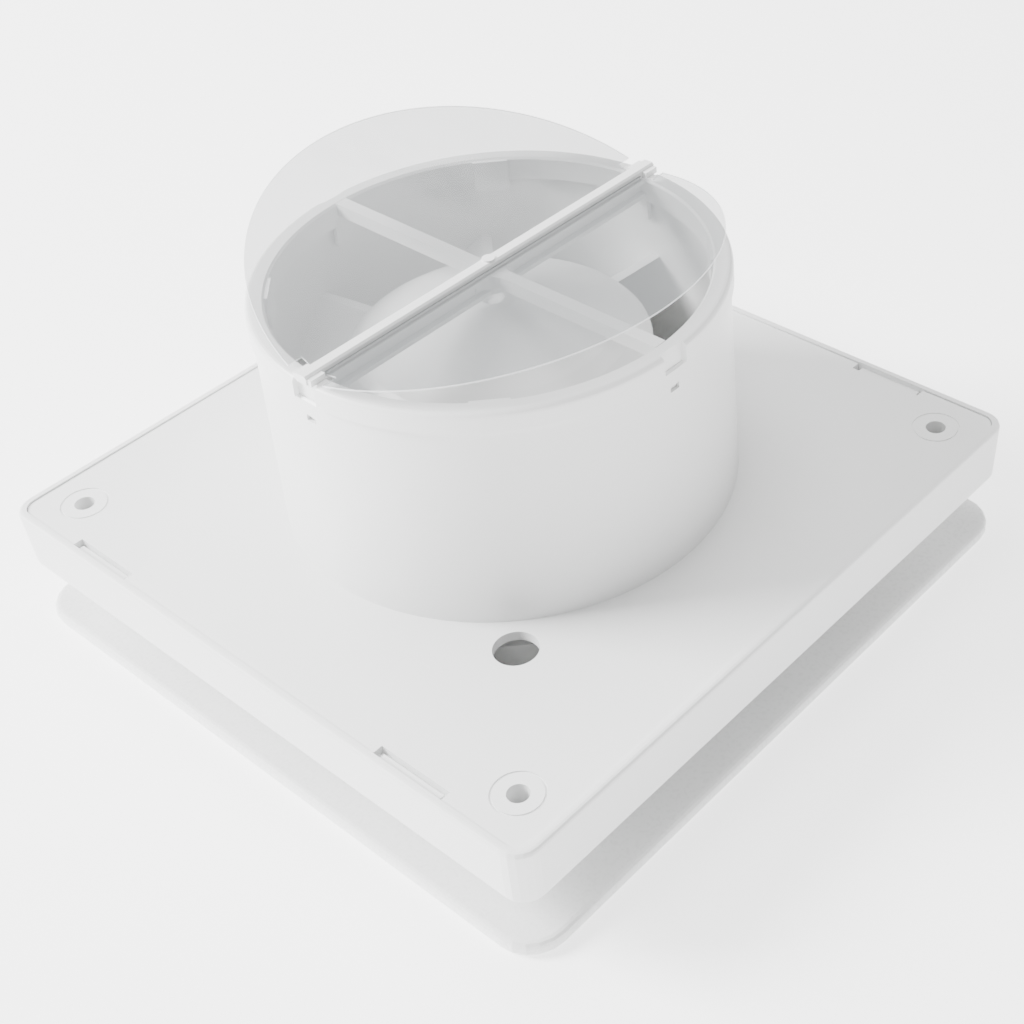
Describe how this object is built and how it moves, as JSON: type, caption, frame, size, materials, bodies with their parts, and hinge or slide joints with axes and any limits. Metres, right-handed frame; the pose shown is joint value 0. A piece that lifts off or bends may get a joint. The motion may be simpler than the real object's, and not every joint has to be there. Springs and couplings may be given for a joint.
{
  "type": "axial exhaust fan",
  "caption": "Axial exhaust fan for a window or wall, with a flat panel over its square cover and a round duct spigot closed by clear film flaps.",
  "frame": {"origin": "middle of the front panel's face, the lowest point of the object as it lies in the picture", "axes": "+Z along the duct, from the front panel to the outlet; +Y along the flaps' hinge bar; +X from the left flap to the right flap"},
  "size_m": [0.158, 0.158, 0.0991],
  "materials": {
    "white_abs": "white moulded ABS, satin gloss",
    "white_panel": "white moulded ABS, polished face",
    "fan_plastic": "off-white moulded plastic",
    "clear_film": "clear flexible film",
    "pressed_steel": "bright zinc-plated steel sheet",
    "core_steel": "stacked and varnished steel laminations",
    "ground_steel": "ground bright steel",
    "fastener_steel": "zinc-plated steel",
    "copper_wire": "enamelled copper wire",
    "bobbin_nylon": "natural nylon",
    "spacer_nylon": "white nylon",
    "bush_rubber": "black rubber",
    "bearing_bronze": "oil-filled sintered bronze",
    "cage_aluminium": "die-cast aluminium",
    "terminal_plastic": "white polyamide"
  },
  "bodies": {
    "base": {"housing": "white_abs", "duct_tube": "white_abs", "motor_carrier": "white_abs", "front_cover": "white_abs", "motor_cap": "white_abs", "front_end_shield": "pressed_steel", "rear_end_shield": "pressed_steel", "stator_core": "core_steel", "coil_bobbins": "bobbin_nylon", "stator_coils": "copper_wire", "motor_screws": "fastener_steel", "motor_bushes": "bush_rubber", "front_bearing": "bearing_bronze", "rear_bearing": "bearing_bronze", "valve_ring": "white_abs", "flap_clamp_bar": "white_abs", "terminal_block": "terminal_plastic", "terminal_screws": "fastener_steel", "block_screw": "fastener_steel", "cable_clamp": "terminal_plastic", "clamp_screws": "fastener_steel"},
    "rotor": {"motor_shaft": "ground_steel", "rotor_core": "core_steel", "rotor_cage": "cage_aluminium", "rotor_spacers": "spacer_nylon", "impeller": "fan_plastic", "shaft_clip": "fastener_steel"},
    "front_panel": {"front_panel": "white_panel"},
    "left_flap": {"left_flap": "clear_film"},
    "right_flap": {"right_flap": "clear_film"}
  },
  "joints": [
    {"name": "rotor_spin", "type": "hinge", "parent": "base", "child": "rotor", "pos_m": [0, 0, 0.055], "axis": [0, 0, 1], "continuous": true},
    {"name": "panel_pull", "type": "slide", "parent": "base", "child": "front_panel", "axis": [0, 0, -1], "range_m": [0, 0.008]},
    {"name": "left_flap_hinge", "type": "hinge", "parent": "base", "child": "left_flap", "pos_m": [-0.0017, 0, 0.0823], "axis": [0, 1, 0], "range_deg": [-20, 50], "stiffness_Nm_per_rad": 0.005, "springref_deg": 4.01},
    {"name": "right_flap_hinge", "type": "hinge", "parent": "base", "child": "right_flap", "pos_m": [0.0017, 0, 0.0823], "axis": [0, -1, 0], "range_deg": [-11, 59], "stiffness_Nm_per_rad": 0.005, "springref_deg": 4.01}
  ]
}
